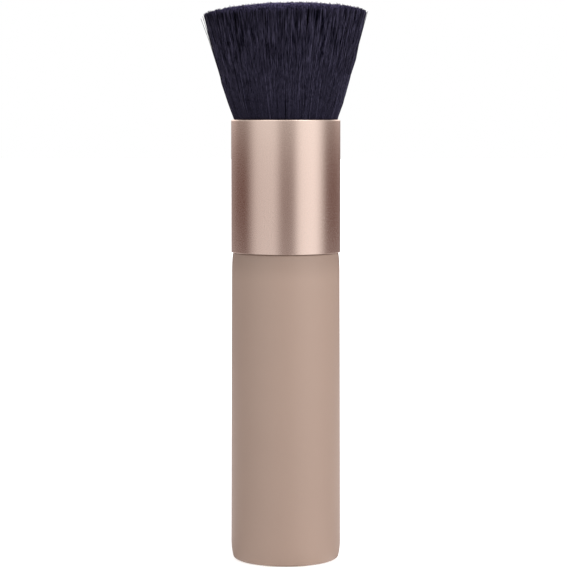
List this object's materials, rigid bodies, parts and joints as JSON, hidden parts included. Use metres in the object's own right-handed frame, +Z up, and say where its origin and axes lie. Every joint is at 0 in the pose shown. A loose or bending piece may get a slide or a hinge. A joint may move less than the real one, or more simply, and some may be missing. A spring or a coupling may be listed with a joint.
{
  "type": "tanning brush",
  "caption": "Flat-top brush with a dense splayed tuft, a metal ferrule and a round handle that stands upright on its foot.",
  "frame": {"origin": "centre of the handle's flat foot, which the brush stands on", "axes": "+Z up the brush from the foot to the tuft; the brush is round about Z, and -Y faces the viewer of the picture"},
  "size_m": [0.0417, 0.0418, 0.1439],
  "materials": {
    "handle_lacquer": "moulded plastic with a smooth satin taupe lacquer",
    "ferrule_metal": "rose-gold anodised, fine satin",
    "filament": "fine synthetic filaments, near black with a violet cast at the tips",
    "inner_moulding": "natural moulded plastic, unseen in use",
    "adhesive": "set clear amber epoxy",
    "binding": "wound cotton thread",
    "foam": "open-cell foam, unseen in use",
    "weight_steel": "cut bar, unseen in use"
  },
  "bodies": {
    "root": {"handle_shell": "handle_lacquer", "balance_weight": "weight_steel", "foam_rod": "foam", "neck_plug": "inner_moulding", "neck_glue_ring": "adhesive", "cup_glue_ring": "adhesive", "ferrule": "ferrule_metal", "tuft_cup": "inner_moulding", "potting_resin": "adhesive", "root_binding": "binding", "bristle_tuft": "filament"}
  },
  "joints": []
}
